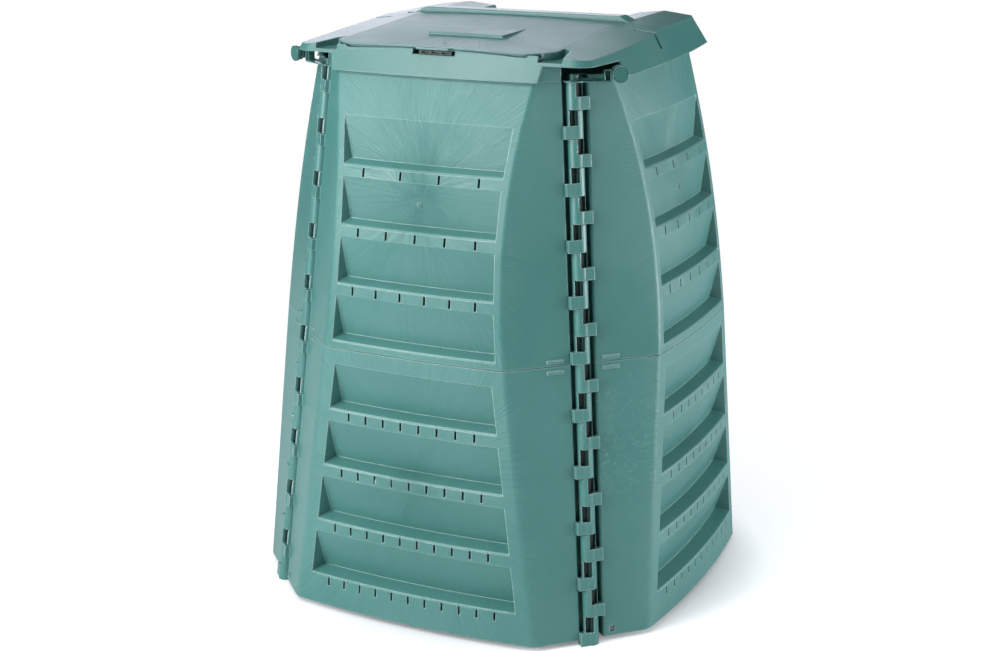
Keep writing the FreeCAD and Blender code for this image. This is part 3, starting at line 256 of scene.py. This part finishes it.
def makePlastic(name, finish, gate=(0, 0, 0), turn=(0, 0, 0), face=None, curlAt=None):
    material = bpy.data.materials.new(name)
    material.use_nodes = True
    tree = material.node_tree
    tree.nodes.clear()
    output = addNode(tree, "ShaderNodeOutputMaterial", (700, 0))
    shader = addNode(tree, "ShaderNodeBsdfPrincipled", (400, 0))
    shader.inputs["IOR"].default_value = moulding["ior"]
    tree.links.new(shader.outputs[0], output.inputs["Surface"])

    # a moulded edge is rounded: the bevel's normal turns over it, and it is painted a paler highlight colour
    rounded = addNode(tree, "ShaderNodeBevel", (-900, -300), samples=moulding["bevelSamples"])
    rounded.inputs["Radius"].default_value = finish["radius"]
    surface = addNode(tree, "ShaderNodeNewGeometry", (-900, -120))
    along = vectors(tree, "DOT_PRODUCT", (-700, -200), rounded.outputs[0], surface.outputs["Normal"])
    edge = stretchRange(tree, (-520, -200), along, *moulding["edgeRange"])

    place = addNode(tree, "ShaderNodeTexCoord", (-1100, 160))
    fromGate = vectors(tree, "SUBTRACT", (-900, 160), place.outputs["Object"], gate)
    turned = turnPattern(tree, (-720, 160), fromGate, turn)
    look = addNode(tree, "ShaderNodeGroup", (-200, 60), node_tree=skinGroup)
    feed(tree, turned, look.inputs["Position"])
    feed(tree, edge, look.inputs["Edge"])
    for key in ("base", "pale", "glint"):
        feed(tree, (*finish[key], 1), look.inputs[key.capitalize()])
    for key in ("rough", "hair"):
        feed(tree, finish[key], look.inputs[key.capitalize()])
    if face:
        feed(tree, face["half"], look.inputs["Face Half"])
        feed(tree, face["taper"], look.inputs["Face Taper"])
    if curlAt:
        away = vectors(tree, "DISTANCE", (-540, 420), turned, curlAt["place"])
        curl = stretchRange(tree, (-380, 420), away, curlAt["reach"], curlAt["core"])
        feed(tree, curl, look.inputs["Curl"])

    relief = addNode(tree, "ShaderNodeBump", (120, -220))
    relief.inputs["Distance"].default_value = finish["depth"]
    feed(tree, look.outputs["Height"], relief.inputs["Height"])
    feed(tree, rounded.outputs[0], relief.inputs["Normal"])
    feed(tree, look.outputs["Color"], shader.inputs["Base Color"])
    feed(tree, look.outputs["Roughness"], shader.inputs["Roughness"])
    feed(tree, relief.outputs[0], shader.inputs["Normal"])
    return material


# a wall panel's gate is at its middle, and its flow is read in its own plane; the flat of its face
# reaches as far as half to either side of the gate, and less by taper for each metre above it; the
# lower panels have curls round one place low on a flank
walls = {
    "lower": {
        "gate": (0, 0, 0.255), "face": {"half": 0.200, "taper": 0.127},
        "curlAt": {"place": (-0.27, -0.29, 0.09), "reach": 0.17, "core": 0.05},
    },
    "upper": {"gate": (0, 0, 0.756), "face": {"half": 0.165, "taper": 0.0}},
}
sides = ("front", "right", "back", "left")
materials = {}
for level, wall in walls.items():
    for quarter, side in enumerate(sides):
        materials[f"{level}_panel_{side}"] = makePlastic(
            f"wallPlastic_{level}_{side}", plastics["wallPlastic"], turn=(0, 0, -90 * quarter), **wall)
flatFlow = {"gate": (0, -0.1, 1.0), "turn": (90, 0, 0)}
for name in ("lidPlastic", "flapPlastic"):
    materials[name] = makePlastic(name, plastics[name], **flatFlow)
for name in ("lockPlastic", "rodPaintedShade", "catchPlastic", "pinPlastic"):
    materials[name] = makePlastic(name, plastics[name])
print("plastics mixed:", len(materials))


# which finish each piece has
corners = ("front_left", "front_right", "back_left", "back_right")
finishes = {f"corner_rod_{corner}": "rodPaintedShade" for corner in corners}
finishes.update({f"corner_lock_{piece}_{side}": "lockPlastic"
                 for piece in ("lever", "knob") for side in ("left", "right")})
finishes.update({
    "lid_frame": "lidPlastic",
    "hinge_bar_cover": "lidPlastic",
    "front_flap": "flapPlastic",
    "flap_hinge_pins": "pinPlastic",
    "flap_catch": "catchPlastic",
})
for name, node in nodes.items():
    for materialSlot in node.material_slots:
        materialSlot.material = materials[finishes.get(name, name)]
print("finishes laid on")


# pale floor: it keeps the object's shadow and fades to plain white further out
floorLook = {
    "radius": 30.0, "segments": 96, "colour": (0.80, 0.81, 0.82),
    "near": 0.50, "far": 1.0,                       # it fades to plain white between these
    "under": 0.36, "clear": 0.50, "lift": 0.45,     # it is lightened outside the foot of the bin
}


def makeFloor():
    mesh = bpy.data.meshes.new("floor")
    floor = bpy.data.objects.new("floor", mesh)
    bpy.context.scene.collection.objects.link(floor)
    disc = bmesh.new()
    bmesh.ops.create_circle(disc, cap_ends=True, segments=floorLook["segments"], radius=floorLook["radius"])
    disc.to_mesh(mesh)
    disc.free()
    material = bpy.data.materials.new("paleFloor")
    material.use_nodes = True
    tree = material.node_tree
    tree.nodes.clear()
    output = addNode(tree, "ShaderNodeOutputMaterial", (800, 0))
    matte = addNode(tree, "ShaderNodeBsdfDiffuse", (0, 100))
    matte.inputs["Color"].default_value = (*floorLook["colour"], 1)
    lift = addNode(tree, "ShaderNodeEmission", (0, -60))
    path = addNode(tree, "ShaderNodeLightPath", (-400, 400))
    both = addNode(tree, "ShaderNodeAddShader", (200, 40))
    tree.links.new(matte.outputs[0], both.inputs[0])
    tree.links.new(lift.outputs[0], both.inputs[1])
    plain = addNode(tree, "ShaderNodeEmission", (200, -140))
    place = addNode(tree, "ShaderNodeTexCoord", (-600, -200))
    distance = vectors(tree, "LENGTH", (-400, -200), place.outputs["Object"])
    away = stretchRange(tree, (-200, -200), distance, floorLook["near"], floorLook["far"])
    outside = stretchRange(tree, (-200, -400), distance, floorLook["under"], floorLook["clear"],
                           newHigh=floorLook["lift"])
    feed(tree, outside, lift.inputs["Strength"])
    fading = mixShaders(tree, (400, 0), away, both.outputs[0], plain.outputs[0])
    watched = mixShaders(tree, (600, 0), path.outputs["Is Camera Ray"], matte.outputs[0], fading)
    tree.links.new(watched, output.inputs["Surface"])
    mesh.materials.append(material)


makeFloor()
print("floor laid")


# soft studio light
studio = {
    "dim": (0.60, 0.64, 0.70),    # what the walls of the room give the object
    "level": 0.10,
    "aim": (0, 0, 0.5),           # every lamp looks at the middle of the bin
    "white": (0.97, 0.98, 1.0),   # the lamps' tints
    "cool": (0.90, 0.96, 1.0),
    "lavender": (0.92, 0.87, 1.0),
}
# az and el say where a lamp stands, in degrees, far how far off, in metres, and size its two sides
lamps = {
    "keyLeft": {"az": -26, "el": 14, "far": 3.0, "size": (1.2, 0.6), "power": 52, "tint": "white"},
    "keyLow": {"az": -26, "el": 1, "far": 3.0, "size": (1.2, 0.4), "power": 8, "tint": "white"},
    "frontTop": {"az": -22, "el": 42, "far": 3.0, "size": (1.8, 0.8), "power": 45, "tint": "white"},
    "overhead": {"az": 0, "el": 84, "far": 3.0, "size": (1.8, 1.8), "power": 34, "tint": "white"},
    "fillRight": {"az": 80, "el": 14, "far": 3.2, "size": (1.4, 1.2), "power": 18, "tint": "white"},
    "edgeRight": {"az": 125, "el": 12, "far": 3.0, "size": (0.9, 1.2), "power": 18, "tint": "cool"},
    "edgeLow": {"az": 108, "el": 1, "far": 3.0, "size": (1.0, 0.4), "power": 44, "tint": "cool"},
    "leftBehind": {"az": -138, "el": 2, "far": 3.0, "size": (1.2, 0.5), "power": 20, "tint": "white"},
    "backLeft": {"az": -148, "el": 19, "far": 3.2, "size": (1.7, 1.0), "power": 17, "tint": "lavender"},
}


def towards(az, el, far):
    # azimuth 0 is in front of the bin, and grows towards its right
    az, el = math.radians(az), math.radians(el)
    return Vector((math.sin(az) * math.cos(el), -math.cos(az) * math.cos(el), math.sin(el))) * far


def makeLamp(name, lamp):
    aim = Vector(studio["aim"])
    light = bpy.data.lights.new(name, "AREA")
    light.shape = "RECTANGLE"
    light.size, light.size_y = lamp["size"]
    light.energy = lamp["power"]
    light.color = studio[lamp["tint"]]
    holder = bpy.data.objects.new(name, light)
    bpy.context.scene.collection.objects.link(holder)
    holder.location = aim + towards(lamp["az"], lamp["el"], lamp["far"])
    holder.rotation_euler = (aim - holder.location).to_track_quat("-Z", "Y").to_euler()


for name, lamp in lamps.items():
    makeLamp(name, lamp)
print("lamps set up:", len(lamps))


def makeWorld():
    world = bpy.data.worlds.new("studio")
    bpy.context.scene.world = world
    world.use_nodes = True
    tree = world.node_tree
    tree.nodes.clear()
    output = addNode(tree, "ShaderNodeOutputWorld", (400, 0))
    room = addNode(tree, "ShaderNodeBackground", (0, 100))
    room.inputs["Color"].default_value = (*studio["dim"], 1)
    room.inputs["Strength"].default_value = studio["level"]
    white = addNode(tree, "ShaderNodeBackground", (0, -60))
    white.inputs["Color"].default_value = (1, 1, 1, 1)
    path = addNode(tree, "ShaderNodeLightPath", (-200, 300))
    choice = mixShaders(tree, (200, 0), path.outputs["Is Camera Ray"], room.outputs[0], white.outputs[0])
    tree.links.new(choice, output.inputs["Surface"])


makeWorld()
print("room and backdrop made")


# the photograph's own view: lens and sensor in millimetres, the rest in degrees and metres
view = {
    "az": 25.551, "el": 16.448, "far": 3.2207, "target": (-0.0111, -0.00525, 0.4454),
    "lens": 62.09, "sensor": 36.0, "clip": 100,
}


def makeCamera():
    data = bpy.data.cameras.new("camera")
    data.sensor_width = view["sensor"]
    data.lens = view["lens"]
    data.clip_end = view["clip"]
    camera = bpy.data.objects.new("camera", data)
    bpy.context.scene.collection.objects.link(camera)
    target = Vector(view["target"])
    camera.location = target + towards(view["az"], view["el"], view["far"])
    aim = (target - camera.location).to_track_quat("-Z", "Y")
    camera.rotation_euler = aim.to_euler()
    bpy.context.scene.camera = camera


makeCamera()
bpy.context.scene.view_settings.view_transform = "Standard"
print("camera placed")
